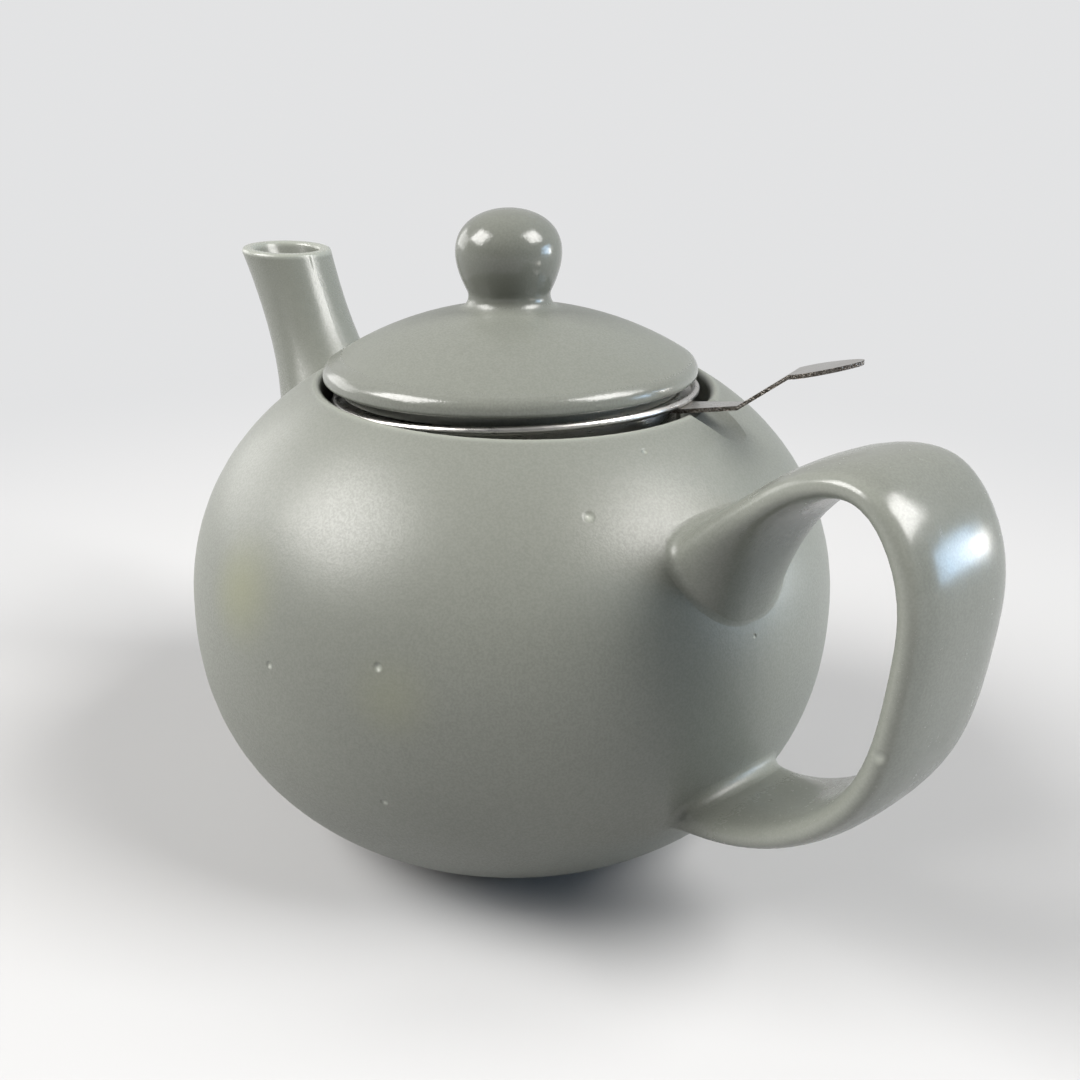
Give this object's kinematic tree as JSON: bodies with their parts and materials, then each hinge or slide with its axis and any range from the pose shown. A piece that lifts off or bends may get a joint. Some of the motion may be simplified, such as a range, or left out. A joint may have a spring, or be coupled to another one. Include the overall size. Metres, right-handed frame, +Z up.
{
  "type": "ceramic teapot",
  "caption": "Round glazed teapot with a slanting spout, a broad strap handle, a domed lid and a steel infuser basket.",
  "frame": {"origin": "under the middle of the pot's whole length, on the plane that it stands on; the pot's own axis is 1.9 mm to its -X side", "axes": "+Z up through the lid, +X towards the handle, -X towards the spout"},
  "size_m": [0.193, 0.126, 0.1208],
  "materials": {
    "body_glaze": "satin",
    "lid_glaze": "satin",
    "steel": "satin",
    "steel_mesh": "satin"
  },
  "bodies": {
    "root": {"teapot_body": "body_glaze", "lid": "lid_glaze", "basket_rim": "steel", "basket_wall": "steel_mesh", "basket_bottom_band": "steel", "basket_floor": "steel_mesh", "basket_tab": "steel"}
  },
  "joints": []
}
